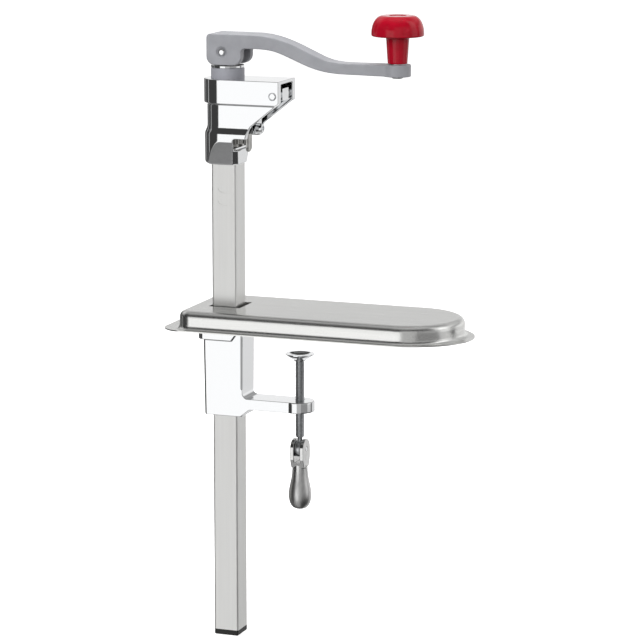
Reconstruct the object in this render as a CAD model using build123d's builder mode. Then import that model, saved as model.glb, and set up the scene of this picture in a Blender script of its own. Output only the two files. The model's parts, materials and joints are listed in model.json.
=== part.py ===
"""Manual bench can opener.

A square steel bar slides up and down through a table clamp. The bar carries a cast head with
a blade and a toothed wheel, which a crank with a mushroom knob turns about a vertical spindle.
X runs along the tray, Y to the back, Z up. The origin is on the bar's axis, at the table's top.
"""

import os
from build123d import *

os.makedirs("parts", exist_ok=True)

# ---------------------------------------------------------------- driving dimensions (mm)
RUNNING = 0.05            # radial clearance of a shaft in its bearing
SLIDING = 0.1             # clearance of the bar to each side of its guides

BAR_SIDE = 25.4
HEAD_SCREW_Z = 165.0
HEAD_SCREW_SPACING = 12.0
HEAD_SCREW_R = 2.5
BAR_WALL = 2.0
BAR_CORNER = 1.8
BAR_BOTTOM = -309.0
BAR_TOP = 170.5
OVAL_HEIGHTS = (122.7, 134.9)
OVAL_SIZE = (16.4, 7.4)
OVAL_DEPTH = 0.35

HEAD_BOTTOM = 159.3
SOCKET_TOP = 170.7
BOSS_TOP = 188.3          # top of the plain band around the wheel
FLARE_TOP = 197.2
BODY_TOP = 218.9
HEAD_TOP = 242.5
BOSS_HALF = 22.6
BODY_HALF = 20.1
BLOCK_HALF = 23.1
SOCKET_HALF = 16.3        # half-width of the tapered foot at its lower end
FOOT_TOP = 182.8          # where the tapered facets start
BEAK_END = 61.2
BEAK_LOW = 221.7
CHEEK_FOOT = (31.0, 197.7)
CHEEK_THICK = 7.7
BEAK_ROOF = 3.2
NECK_FACE = 19.0          # right face of the solid neck, between the cheeks
NOTCH_LOW = 173.6
NOTCH_TOP = 185.5
NOTCH_LEFT = 13.2
NOTCH_ROUND = 3.0
FOOT_RIGHT = 16.3
CROSS_PIN_AT = (55.0, 228.3)
CROSS_PIN_R = 3.5

SPINDLE_R = 7.0
BUSH_R = 10.0
WHEEL_R = 18.6
WHEEL_TEETH = 36
WHEEL_LOW = 176.2
CHAMBER_LOW = 175.6       # floor of the wheel's chamber
WHEEL_TOP = 184.7
COLLAR_R = 16.3
COLLAR_TOP = 252.4
WASHER_TOP = 255.3

HUB_LEFT = -15.8
HUB_RIGHT = 20.2
HUB_LOW = 255.8
HUB_TOP = 285.9
HUB_HALF = 16.4
FORK_GAP = 16.6
CRANK_PIN_Z = 268.3
ARM_HALF = 9.8
KNOB_X = 173.6
KNOB_BOSS_R = 12.9
KNOB_BOSS_LOW = 250.0
KNOB_BOSS_TOP = 261.5
KNOB_PIN_R = 4.0
KNOB_TOP = 307.8
KNOB_CAP_R = 25.1
KNOB_FLAT_R = 14.6
KNOB_SEAT_R = 8.3

TRAY_Y = 3.0              # the tray's centre line lies behind the bar's axis
TRAY_TOP = 19.0
TRAY_SHEET = 1.2
TRAY_LEFT = -35.5
TRAY_ROUND_X = 185.0      # centre of the half-round end
TRAY_HALF = 54.5
TRAY_SHOULDER = 6.5
TRAY_FLARE = 4.4          # concave radius between the wall and the flange
FLANGE_LEFT = -51.8
FLANGE_RIGHT = 249.7
FLANGE_HALF = 60.0
FLANGE_ROUND_X = 175.0
TRAY_HOLE = (-15.2, 17.2, -15.4, 18.4)

SLEEVE_LOW = -89.3
SLEEVE_FRONT = 17.0
JAW_THICK = 5.0
JAW_RIGHT = 95.0
JAW_HALF = 30.0
REBATE = 1.0               # step in the jaw plate that sits down over the sleeve's top
LIP_LEFT = -26.9
LIP_RIGHT = 15.2
LIP_LOW = -13.7
LIP_HALF = 19.6
SLEEVE_RIGHT = 20.4        # right face of the sleeve at its top
ARM_TOP_Z = -71.0
ARM_LOW_Z = -81.7
SCREW_X = 74.3
SCREW_R = 4.5
SCREW_BOSS_R = 15.5
ARM_WIDTH = 29.2
PAD_TOP = -24.5
PAD_LOW = -31.6
THREAD_LOW = -108.0
LEVER_PIN_Z = -120.0
LEVER_LOW = -181.0

# ---------------------------------------------------------------- bar
HEAD_SCREWS = [(side * HEAD_SCREW_SPACING / 2, HEAD_SCREW_Z) for side in (-1, 1)]
with BuildPart() as bar:
    with BuildSketch(Plane.XY.offset(BAR_BOTTOM)):
        RectangleRounded(BAR_SIDE, BAR_SIDE, BAR_CORNER)
        inner = BAR_SIDE - 2 * BAR_WALL
        RectangleRounded(inner, inner, BAR_CORNER / 2, mode=Mode.SUBTRACT)
    extrude(amount=BAR_TOP - BAR_BOTTOM)
    # two plain oval stampings in the front face
    with BuildSketch(Plane.XZ.offset(BAR_SIDE / 2)):
        for height in OVAL_HEIGHTS:
            with Locations((2.6, height)):
                Ellipse(OVAL_SIZE[0] / 2, OVAL_SIZE[1] / 2)
    extrude(amount=-OVAL_DEPTH, mode=Mode.SUBTRACT)
    # holes in the back wall for the head's screws
    with BuildSketch(Plane.XZ.offset(-BAR_SIDE / 2)):
        with Locations(*HEAD_SCREWS):
            Circle(HEAD_SCREW_R)
    extrude(amount=BAR_WALL + 0.5, mode=Mode.SUBTRACT)
bar.part.label = "bar"
export_step(bar.part, "parts/bar.step")

# moulded plug that closes the bar's lower end
CAP_THICK = 5.4
CAP_PLUG = 16.0
with BuildPart() as bar_end_cap:
    with BuildSketch(Plane.XY.offset(BAR_BOTTOM)):
        RectangleRounded(BAR_SIDE, BAR_SIDE, BAR_CORNER)
    extrude(amount=-CAP_THICK)
    chamfer(bar_end_cap.faces().sort_by(Axis.Z)[0].edges(), 0.6)
    with BuildSketch(Plane.XY.offset(BAR_BOTTOM)):
        plug = BAR_SIDE - 2 * BAR_WALL - 0.4
        RectangleRounded(plug, plug, 1)
        RectangleRounded(plug - 4, plug - 4, 0.8, mode=Mode.SUBTRACT)
    extrude(amount=CAP_PLUG)
bar_end_cap.part.label = "bar_end_cap"
export_step(bar_end_cap.part, "parts/bar_end_cap.step")

# steel block pressed into the bar's upper end, which takes the head's screws
PLUG_LENGTH = 30.0
with BuildPart() as bar_top_plug:
    with BuildSketch(Plane.XY.offset(BAR_TOP)):
        plug = BAR_SIDE - 2 * BAR_WALL
        RectangleRounded(plug, plug, BAR_CORNER / 2)
    extrude(amount=-PLUG_LENGTH)
    with BuildSketch(Plane.XZ.offset(-BAR_SIDE / 2)):
        with Locations(*HEAD_SCREWS):
            Circle(HEAD_SCREW_R)
    extrude(amount=14, mode=Mode.SUBTRACT)
bar_top_plug.part.label = "bar_top_plug"
export_step(bar_top_plug.part, "parts/bar_top_plug.step")

# ---------------------------------------------------------------- head casting
with BuildPart() as head_casting:
    # one cross-section, drawn out to the right and turned round the spindle at the left
    with BuildSketch(Plane.YZ) as half_section:
        with BuildLine():
            Polyline((0, HEAD_BOTTOM), (BOSS_HALF, HEAD_BOTTOM), (BOSS_HALF, BOSS_TOP))
            Spline((BOSS_HALF, BOSS_TOP), (BODY_HALF, FLARE_TOP), tangents=[(0, 1), (0, 1)])
            Polyline((BODY_HALF, FLARE_TOP), (BODY_HALF, BODY_TOP - 0.8), (BLOCK_HALF, BODY_TOP + 0.4),
                     (BLOCK_HALF, HEAD_TOP), (0, HEAD_TOP), (0, HEAD_BOTTOM))
        make_face()
    revolve(axis=Axis.Z)
    extrude(half_section.sketch, amount=BEAK_END)
    extrude(mirror(half_section.sketch, about=Plane.XZ, mode=Mode.PRIVATE), amount=BEAK_END)
    # side outline: beak, sloping cheeks, notch at the wheel and the tapered right face
    with BuildSketch(Plane.XZ):
        with BuildLine():
            Polyline((-30, HEAD_BOTTOM), (-30, HEAD_TOP), (BEAK_END, HEAD_TOP), (BEAK_END, BEAK_LOW),
                     CHEEK_FOOT)
            ThreePointArc(CHEEK_FOOT, (28.2, 192.5), (26.6, NOTCH_TOP))
            Line((26.6, NOTCH_TOP), (NOTCH_LEFT + NOTCH_ROUND, NOTCH_TOP))
            RadiusArc((NOTCH_LEFT + NOTCH_ROUND, NOTCH_TOP), (NOTCH_LEFT, NOTCH_TOP - NOTCH_ROUND),
                      -NOTCH_ROUND)
            Polyline((NOTCH_LEFT, NOTCH_TOP - NOTCH_ROUND), (NOTCH_LEFT, NOTCH_LOW), (FOOT_RIGHT, NOTCH_LOW),
                     (FOOT_RIGHT - 1.4, HEAD_BOTTOM), (-30, HEAD_BOTTOM))
        make_face()
    extrude(amount=40, both=True, mode=Mode.INTERSECT)
    # tapered facets at the front and the back of the foot
    with BuildSketch(Plane.YZ.offset(-40)) as facets:
        with BuildLine():
            Polyline((SOCKET_HALF, HEAD_BOTTOM - 1), (BOSS_HALF, FOOT_TOP), (BOSS_HALF + 9, FOOT_TOP),
                     (BOSS_HALF + 9, HEAD_BOTTOM - 1), (SOCKET_HALF, HEAD_BOTTOM - 1))
        make_face()
        mirror(about=Plane.YZ)
    extrude(amount=80, mode=Mode.SUBTRACT)
    # round the foot's lower left edge
    foot_edges = head_casting.faces().sort_by(Axis.Z)[0].edges().group_by(Axis.X)[0]
    fillet(foot_edges, 3.5)
    # narrow facets that widen downwards at the foot's front and back right corners
    for side in (-1, 1):
        corner_low = [(8.0, side * 21.6), (18.5, side * 5.7), (22.0, side * 24.0)]
        corner_high = [(9.7, side * 25.5), (20.2, side * 9.6), (24.0, side * 28.0)]
        with BuildSketch(Plane.XY.offset(HEAD_BOTTOM)):
            Polygon(*corner_low, align=None)
        with BuildSketch(Plane.XY.offset(NOTCH_LOW + 1)):
            Polygon(*corner_high, align=None)
        loft(mode=Mode.SUBTRACT)
    # hollow beak between the cheeks, open at its end and underneath
    cheek_gap = 2 * (BLOCK_HALF - CHEEK_THICK)
    with BuildSketch(Plane.XY.offset(NOTCH_TOP - 1)):
        with Locations((NECK_FACE, 0)):
            Rectangle(60, cheek_gap, align=(Align.MIN, Align.CENTER))
    extrude(amount=HEAD_TOP - BEAK_ROOF - NOTCH_TOP + 1, mode=Mode.SUBTRACT)
    # wheel chamber, open to the right so that the wheel can be slid in
    with BuildSketch(Plane.XY.offset(CHAMBER_LOW)):
        Circle(WHEEL_R + 0.7)
        Rectangle(40, 2 * (WHEEL_R + 0.7), align=(Align.MIN, Align.CENTER))
    extrude(amount=NOTCH_TOP - CHAMBER_LOW, mode=Mode.SUBTRACT)
    # bore for the spindle bushes and access hole to the wheel's screw
    with BuildSketch(Plane.XY.offset(NOTCH_TOP)):
        Circle(BUSH_R)
    extrude(amount=HEAD_TOP - NOTCH_TOP, mode=Mode.SUBTRACT)
    with BuildSketch(Plane.XY.offset(SOCKET_TOP - 1)):
        Circle(6.6)
    extrude(amount=CHAMBER_LOW - SOCKET_TOP + 2, mode=Mode.SUBTRACT)
    # square socket for the bar
    with BuildSketch(Plane.XY.offset(HEAD_BOTTOM)):
        Rectangle(BAR_SIDE + 0.1, BAR_SIDE + 0.1)
    extrude(amount=SOCKET_TOP - HEAD_BOTTOM, mode=Mode.SUBTRACT)
    # cross pin hole and the two countersunk screws in the back of the socket
    with BuildSketch(Plane.XZ):
        with Locations(CROSS_PIN_AT):
            Circle(CROSS_PIN_R)
    extrude(amount=40, both=True, mode=Mode.SUBTRACT)
    with BuildSketch(Plane.XZ.offset(-BAR_SIDE / 2)):
        with Locations(*HEAD_SCREWS):
            Circle(HEAD_SCREW_R)
    extrude(amount=-12, mode=Mode.SUBTRACT)
head_casting.part.label = "head_casting"
export_step(head_casting.part, "parts/head_casting.step")

# two countersunk screws that hold the head on the bar, in from the back
with BuildPart() as head_screws:
    with BuildSketch(Plane.XZ.offset(-18.2)):
        with Locations(*HEAD_SCREWS):
            Circle(HEAD_SCREW_R)
    extrude(amount=12)
    with BuildSketch(Plane.XZ.offset(-18.2)):
        with Locations(*HEAD_SCREWS):
            RegularPolygon(1.5, 6)
    extrude(amount=3, mode=Mode.SUBTRACT)
head_screws.part.label = "head_screws"
export_step(head_screws.part, "parts/head_screws.step")

# ---------------------------------------------------------------- blade and its holder
HOLDER_HALF = 8.0
BLADE_THICK = 2.5
BLADE_FACE = 23.1         # face of the holder that the blade lies against
BLADE_HALF = 5.5
HOLDER_RIGHT = 32.0
BLADE_LOW = 171.0
BLADE_TOP = 205.0
BLADE_SCREW_Z = 194.6
BLADE_SCREW_R = 3.0
SCREW_HEAD = 4.6
with BuildPart() as blade_holder:
    with BuildSketch(Plane.XZ):
        with BuildLine():
            Polyline((BLADE_FACE, 189.6), (BLADE_FACE, 216.0), (NECK_FACE, 220.0), (NECK_FACE, 234.6),
                     (59.8, 234.6), (59.8, 223.0), (52.0, 221.8), (HOLDER_RIGHT, 204.5),
                     (HOLDER_RIGHT, 189.6), (BLADE_FACE, 189.6))
        make_face()
    extrude(amount=HOLDER_HALF, both=True)
    with BuildSketch(Plane.XZ):
        with Locations(CROSS_PIN_AT):
            Circle(CROSS_PIN_R)
    extrude(amount=20, both=True, mode=Mode.SUBTRACT)
    with BuildSketch(Plane.YZ.offset(BLADE_FACE)):
        with Locations((0, BLADE_SCREW_Z)):
            Circle(BLADE_SCREW_R)
    extrude(amount=10, mode=Mode.SUBTRACT)
blade_holder.part.label = "blade_holder"
export_step(blade_holder.part, "parts/blade_holder.step")

# hardened blade with a curved cutting point
with BuildPart() as blade:
    with BuildSketch(Plane.YZ.offset(BLADE_FACE - BLADE_THICK)):
        with BuildLine():
            Polyline((-BLADE_HALF, BLADE_TOP), (-BLADE_HALF, 176))
            ThreePointArc((-BLADE_HALF, 176), (0.6, BLADE_LOW), (BLADE_HALF, 177))
            Polyline((BLADE_HALF, 177), (BLADE_HALF, BLADE_TOP), (-BLADE_HALF, BLADE_TOP))
        make_face()
        with Locations((0, BLADE_SCREW_Z)):
            Circle(BLADE_SCREW_R, mode=Mode.SUBTRACT)
    extrude(amount=BLADE_THICK)
    # ground bevel along both sides and round the point
    outer_wire = blade.faces().sort_by(Axis.X)[-1].outer_wire()
    chamfer(outer_wire.edges().sort_by(Axis.Z)[:-1], 0.9)
blade.part.label = "blade"
export_step(blade.part, "parts/blade.step")

# screw that clamps the blade to the holder
with BuildPart() as blade_screw:
    with BuildSketch(Plane.YZ.offset(BLADE_FACE - BLADE_THICK)):
        with Locations((0, BLADE_SCREW_Z)):
            Circle(BLADE_SCREW_R)
    extrude(amount=HOLDER_RIGHT - BLADE_FACE + BLADE_THICK)
    with BuildSketch(Plane.YZ.offset(HOLDER_RIGHT)):
        with Locations((0, BLADE_SCREW_Z)):
            Circle(4.7)
    extrude(amount=SCREW_HEAD)
    fillet(blade_screw.edges().sort_by(Axis.X)[-1], 0.8)
    with BuildSketch(Plane.YZ.offset(HOLDER_RIGHT + SCREW_HEAD)):
        with Locations((0, BLADE_SCREW_Z)):
            RegularPolygon(2.5, 6)
    extrude(amount=-2.4, mode=Mode.SUBTRACT)
blade_screw.part.label = "blade_screw"
export_step(blade_screw.part, "parts/blade_screw.step")

# cross pin through both cheeks and the blade holder
with BuildPart() as blade_cross_pin:
    with BuildSketch(Plane.XZ.offset(-BLOCK_HALF)):
        with Locations(CROSS_PIN_AT):
            Circle(CROSS_PIN_R)
    extrude(amount=2 * BLOCK_HALF)
    chamfer(blade_cross_pin.edges().filter_by(GeomType.CIRCLE), 0.8)
blade_cross_pin.part.label = "blade_cross_pin"
export_step(blade_cross_pin.part, "parts/blade_cross_pin.step")

# ---------------------------------------------------------------- spindle, bushes and wheel
UPPER_BUSH_LOW = 222.0
LOWER_BUSH_TOP = 204.0
with BuildPart() as spindle_collar:
    with BuildSketch(Plane.XY.offset(HEAD_TOP)):
        Circle(COLLAR_R)
    extrude(amount=COLLAR_TOP - HEAD_TOP)
    chamfer(spindle_collar.edges().sort_by(Axis.Z)[-1], 0.6)
    with BuildSketch(Plane.XY.offset(UPPER_BUSH_LOW)):
        Circle(BUSH_R)
    extrude(amount=HEAD_TOP - UPPER_BUSH_LOW)
    with BuildSketch(Plane.XY.offset(UPPER_BUSH_LOW)):
        Circle(SPINDLE_R + RUNNING)
    extrude(amount=COLLAR_TOP - UPPER_BUSH_LOW, mode=Mode.SUBTRACT)
spindle_collar.part.label = "spindle_collar"
export_step(spindle_collar.part, "parts/spindle_collar.step")

with BuildPart() as lower_spindle_bush:
    with BuildSketch(Plane.XY.offset(NOTCH_TOP)):
        Circle(BUSH_R)
        Circle(SPINDLE_R + RUNNING, mode=Mode.SUBTRACT)
    extrude(amount=LOWER_BUSH_TOP - NOTCH_TOP)
lower_spindle_bush.part.label = "lower_spindle_bush"
export_step(lower_spindle_bush.part, "parts/lower_spindle_bush.step")

WHEEL_DRIVE = 9.0         # square end of the spindle that drives the wheel
TANG_LEFT = -11.5
TANG_RIGHT = 9.5
TANG_TOP = 276.5
CRANK_PIN_R = 3.5
WHEEL_SCREW_R = 2.5
with BuildPart() as spindle:
    with BuildSketch(Plane.XY.offset(WHEEL_TOP)):
        Circle(SPINDLE_R)
    extrude(amount=WASHER_TOP - WHEEL_TOP)
    with BuildSketch(Plane.XY.offset(WHEEL_TOP)):
        Rectangle(WHEEL_DRIVE, WHEEL_DRIVE)
    extrude(amount=WHEEL_LOW + 0.5 - WHEEL_TOP)
    # flat tang that the crank's fork straddles
    with BuildSketch(Plane.XZ):
        with BuildLine():
            Polyline((TANG_LEFT, WASHER_TOP), (TANG_RIGHT, WASHER_TOP), (TANG_RIGHT, TANG_TOP - 6))
            RadiusArc((TANG_RIGHT, TANG_TOP - 6), (TANG_RIGHT - 6, TANG_TOP), -6)
            Line((TANG_RIGHT - 6, TANG_TOP), (TANG_LEFT + 6, TANG_TOP))
            RadiusArc((TANG_LEFT + 6, TANG_TOP), (TANG_LEFT, TANG_TOP - 6), -6)
            Line((TANG_LEFT, TANG_TOP - 6), (TANG_LEFT, WASHER_TOP))
        make_face()
    extrude(amount=FORK_GAP / 2 - 0.1, both=True)
    with BuildSketch(Plane.XZ):
        with Locations((0, CRANK_PIN_Z)):
            Circle(CRANK_PIN_R)
    extrude(amount=20, both=True, mode=Mode.SUBTRACT)
    with BuildSketch(Plane.XY.offset(WHEEL_LOW)):
        Circle(WHEEL_SCREW_R)
    extrude(amount=16, mode=Mode.SUBTRACT)
spindle.part.label = "spindle"
export_step(spindle.part, "parts/spindle.step")

# toothed wheel that grips the can's rim
TOOTH_DEPTH = 1.5
with BuildPart() as drive_wheel:
    with BuildSketch(Plane.XY.offset(WHEEL_LOW)):
        Circle(WHEEL_R)
        Rectangle(WHEEL_DRIVE, WHEEL_DRIVE, mode=Mode.SUBTRACT)
        with PolarLocations(WHEEL_R + 0.5, WHEEL_TEETH):
            RegularPolygon(TOOTH_DEPTH + 0.4, 3, rotation=180, mode=Mode.SUBTRACT)
    extrude(amount=WHEEL_TOP - WHEEL_LOW)
    with BuildSketch(Plane.XY.offset(WHEEL_LOW)):
        Circle(WHEEL_R + 1)
        Circle(WHEEL_R - 3, mode=Mode.SUBTRACT)
    extrude(amount=3, mode=Mode.SUBTRACT)
    with BuildSketch(Plane.XY.offset(WHEEL_LOW)):
        Circle(6)
    extrude(amount=0.5, mode=Mode.SUBTRACT)
drive_wheel.part.label = "drive_wheel"
export_step(drive_wheel.part, "parts/drive_wheel.step")

with BuildPart() as wheel_screw:
    with BuildSketch(Plane.XY.offset(WHEEL_LOW + 0.5)):
        Circle(5.8)
    extrude(amount=-1.2)
    with BuildSketch(Plane.XY.offset(WHEEL_LOW + 0.5)):
        Circle(WHEEL_SCREW_R)
    extrude(amount=14)
    with BuildSketch(Plane.XY.offset(WHEEL_LOW - 0.7)):
        RegularPolygon(2, 6)
    extrude(amount=2.5, mode=Mode.SUBTRACT)
wheel_screw.part.label = "wheel_screw"
export_step(wheel_screw.part, "parts/wheel_screw.step")

with BuildPart() as thrust_washer:
    with BuildSketch(Plane.XY.offset(COLLAR_TOP + RUNNING)):
        Circle(COLLAR_R)
        Circle(SPINDLE_R, mode=Mode.SUBTRACT)
    extrude(amount=WASHER_TOP - COLLAR_TOP - RUNNING)
    fillet(thrust_washer.edges().filter_by(GeomType.CIRCLE).sort_by(Edge.length)[-2:], 0.7)
thrust_washer.part.label = "thrust_washer"
export_step(thrust_washer.part, "parts/thrust_washer.step")

# ---------------------------------------------------------------- crank
with BuildPart() as crank_arm:
    # side outline: hub at the left, arm dipping in an S to the low boss at the right
    with BuildSketch(Plane.XZ):
        with BuildLine():
            Line((HUB_LEFT, HUB_LOW + 8), (HUB_LEFT, HUB_TOP - 4))
            RadiusArc((HUB_LEFT, HUB_TOP - 4), (HUB_LEFT + 4, HUB_TOP), 4)
            Line((HUB_LEFT + 4, HUB_TOP), (26, HUB_TOP - 0.2))
            Spline((26, HUB_TOP - 0.2), (58.3, 281.6), (91.5, 268.4), (127.7, KNOB_BOSS_TOP - 0.4),
                   tangents=[(1, 0), (1, 0)])
            Line((127.7, KNOB_BOSS_TOP - 0.4), (KNOB_X, KNOB_BOSS_TOP - 0.2))
            Line((KNOB_X, KNOB_BOSS_TOP - 0.2), (KNOB_X, KNOB_BOSS_LOW + 0.2))
            Line((KNOB_X, KNOB_BOSS_LOW + 0.2), (127.7, KNOB_BOSS_LOW + 0.7))
            Spline((127.7, KNOB_BOSS_LOW + 0.7), (91.5, 255.0), (58.3, 268.2), (30, 272.4),
                   tangents=[(-1, 0), (-1, 0)])
            Line((30, 272.4), (HUB_RIGHT + 4, 272.4))
            RadiusArc((HUB_RIGHT + 4, 272.4), (HUB_RIGHT, 268.4), -4)
            Line((HUB_RIGHT, 268.4), (HUB_RIGHT, HUB_LOW + 9))
            RadiusArc((HUB_RIGHT, HUB_LOW + 9), (HUB_RIGHT - 9, HUB_LOW), 9)
            Line((HUB_RIGHT - 9, HUB_LOW), (HUB_LEFT + 8, HUB_LOW))
            RadiusArc((HUB_LEFT + 8, HUB_LOW), (HUB_LEFT, HUB_LOW + 8), 8)
        make_face()
    extrude(amount=HUB_HALF, both=True)
    # plan outline: wide hub tapering into a slim arm
    with BuildSketch(Plane.XY.offset(HUB_LOW - 20)):
        with BuildLine():
            Line((HUB_LEFT, -HUB_HALF), (HUB_LEFT, HUB_HALF))
            Line((HUB_LEFT, HUB_HALF), (HUB_RIGHT + 2, HUB_HALF))
            Spline((HUB_RIGHT + 2, HUB_HALF), (52, ARM_HALF + 2.6), (85, ARM_HALF),
                   tangents=[(1, 0), (1, 0)])
            Line((85, ARM_HALF), (KNOB_X, ARM_HALF))
            Line((KNOB_X, ARM_HALF), (KNOB_X, -ARM_HALF))
            Line((KNOB_X, -ARM_HALF), (85, -ARM_HALF))
            Spline((85, -ARM_HALF), (52, -ARM_HALF - 2.6), (HUB_RIGHT + 2, -HUB_HALF),
                   tangents=[(-1, 0), (-1, 0)])
            Line((HUB_RIGHT + 2, -HUB_HALF), (HUB_LEFT, -HUB_HALF))
        make_face()
    extrude(amount=60, mode=Mode.INTERSECT)
    # boss for the knob's pin
    with BuildSketch(Plane.XY.offset(KNOB_BOSS_LOW)):
        with Locations((KNOB_X, 0)):
            Circle(KNOB_BOSS_R)
    extrude(amount=KNOB_BOSS_TOP - KNOB_BOSS_LOW)
    # slot of the fork, open downwards and to the right
    with BuildSketch(Plane.XZ):
        with BuildLine():
            Polyline((TANG_LEFT - 0.4, HUB_LOW - 5), (TANG_LEFT - 0.4, TANG_TOP - 5.6))
            RadiusArc((TANG_LEFT - 0.4, TANG_TOP - 5.6), (TANG_LEFT + 5.6, TANG_TOP + 0.4), 6)
            Polyline((TANG_LEFT + 5.6, TANG_TOP + 0.4), (HUB_RIGHT - 4, TANG_TOP + 0.4))
            Polyline((HUB_RIGHT - 4, TANG_TOP + 0.4), (HUB_RIGHT + 5, 271.5), (HUB_RIGHT + 5, HUB_LOW - 5),
                     (TANG_LEFT - 0.4, HUB_LOW - 5))
        make_face()
    extrude(amount=FORK_GAP / 2, both=True, mode=Mode.SUBTRACT)
    # cross pin hole with a recess at each end
    with BuildSketch(Plane.XZ):
        with Locations((0, CRANK_PIN_Z)):
            Circle(CRANK_PIN_R)
    extrude(amount=HUB_HALF + 5, both=True, mode=Mode.SUBTRACT)
    for side in (-1, 1):
        with BuildSketch(Plane.XZ.offset(side * (HUB_HALF - 1.2))):
            with Locations((0, CRANK_PIN_Z)):
                Circle(5.2)
        extrude(amount=side * 5, mode=Mode.SUBTRACT)
    # hole for the knob's pin
    with BuildSketch(Plane.XY.offset(KNOB_BOSS_LOW)):
        with Locations((KNOB_X, 0)):
            Circle(KNOB_PIN_R)
    extrude(amount=KNOB_BOSS_TOP - KNOB_BOSS_LOW, mode=Mode.SUBTRACT)
crank_arm.part.label = "crank_arm"
export_step(crank_arm.part, "parts/crank_arm.step")

# pin that fixes the crank on the spindle, with domed ends
with BuildPart() as crank_cross_pin:
    with BuildSketch(Plane.XZ.offset(-HUB_HALF - 0.4)):
        with Locations((0, CRANK_PIN_Z)):
            Circle(CRANK_PIN_R)
    extrude(amount=2 * HUB_HALF + 0.8)
    fillet(crank_cross_pin.edges().filter_by(GeomType.CIRCLE), 1.6)
crank_cross_pin.part.label = "crank_cross_pin"
export_step(crank_cross_pin.part, "parts/crank_cross_pin.step")

# ---------------------------------------------------------------- knob
KNOB_LOW = KNOB_BOSS_TOP + 0.9
RECESS_DEPTH = 4.0
PIN_HEAD_R = 6.5
with BuildPart() as knob_pin:
    with BuildSketch(Plane.XY.offset(KNOB_BOSS_LOW - 2.0)):
        with Locations((KNOB_X, 0)):
            Circle(KNOB_PIN_R + 1.6)
    extrude(amount=2.0)
    fillet(knob_pin.edges().sort_by(Axis.Z)[0], 1.5)
    with BuildSketch(Plane.XY.offset(KNOB_BOSS_LOW)):
        with Locations((KNOB_X, 0)):
            Circle(KNOB_PIN_R)
    extrude(amount=KNOB_TOP - 9 - KNOB_BOSS_LOW)
    with BuildSketch(Plane.XY.offset(KNOB_TOP - 9)):
        with Locations((KNOB_X, 0)):
            Circle(PIN_HEAD_R)
    extrude(amount=3)
knob_pin.part.label = "knob_pin"
export_step(knob_pin.part, "parts/knob_pin.step")

with BuildPart() as knob_washer:
    with BuildSketch(Plane.XY.offset(KNOB_BOSS_TOP)):
        with Locations((KNOB_X, 0)):
            Circle(8.6)
            Circle(KNOB_PIN_R, mode=Mode.SUBTRACT)
    extrude(amount=0.8)
knob_washer.part.label = "knob_washer"
export_step(knob_washer.part, "parts/knob_washer.step")

# mushroom knob, turned about its pin
with BuildPart() as knob:
    with BuildSketch(Plane.XZ) as knob_half:
        with BuildLine():
            Polyline((KNOB_X, KNOB_LOW), (KNOB_X + 9.1, KNOB_LOW), (KNOB_X + 9.5, KNOB_LOW + 0.8),
                     (KNOB_X + 11.0, 285.8))
            RadiusArc((KNOB_X + 11.0, 285.8), (KNOB_X + 12.6, 287.2), 1.6)
            Line((KNOB_X + 12.6, 287.2), (KNOB_X + 23.9, 288.3))
            RadiusArc((KNOB_X + 23.9, 288.3), (KNOB_X + KNOB_CAP_R, 289.7), -1.4)
            Line((KNOB_X + KNOB_CAP_R, 289.7), (KNOB_X + KNOB_CAP_R, 291.2))
            EllipticalCenterArc((KNOB_X + KNOB_FLAT_R, 291.2), KNOB_CAP_R - KNOB_FLAT_R,
                                KNOB_TOP - 291.2, 0, arc_size=90)
            Polyline((KNOB_X + KNOB_FLAT_R, KNOB_TOP), (KNOB_X + KNOB_SEAT_R, KNOB_TOP),
                     (KNOB_X + KNOB_SEAT_R, KNOB_TOP - RECESS_DEPTH),
                     (KNOB_X + PIN_HEAD_R + 0.4, KNOB_TOP - RECESS_DEPTH),
                     (KNOB_X + PIN_HEAD_R + 0.4, KNOB_TOP - 9.1), (KNOB_X, KNOB_TOP - 9.1),
                     (KNOB_X, KNOB_LOW))
        make_face()
    revolve(axis=Axis((KNOB_X, 0, 0), (0, 0, 1)))
    with BuildSketch(Plane.XY.offset(KNOB_LOW)):
        with Locations((KNOB_X, 0)):
            Circle(KNOB_PIN_R + RUNNING)
    extrude(amount=40, mode=Mode.SUBTRACT)
knob.part.label = "knob"
export_step(knob.part, "parts/knob.step")

with BuildPart() as knob_cap:
    with BuildSketch(Plane.XY.offset(KNOB_TOP - 0.5)):
        with Locations((KNOB_X, 0)):
            Circle(KNOB_SEAT_R)
    extrude(amount=-RECESS_DEPTH + 0.5)
    fillet(knob_cap.edges().sort_by(Axis.Z)[-1], 0.6)
knob_cap.part.label = "knob_cap"
export_step(knob_cap.part, "parts/knob_cap.step")

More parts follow.
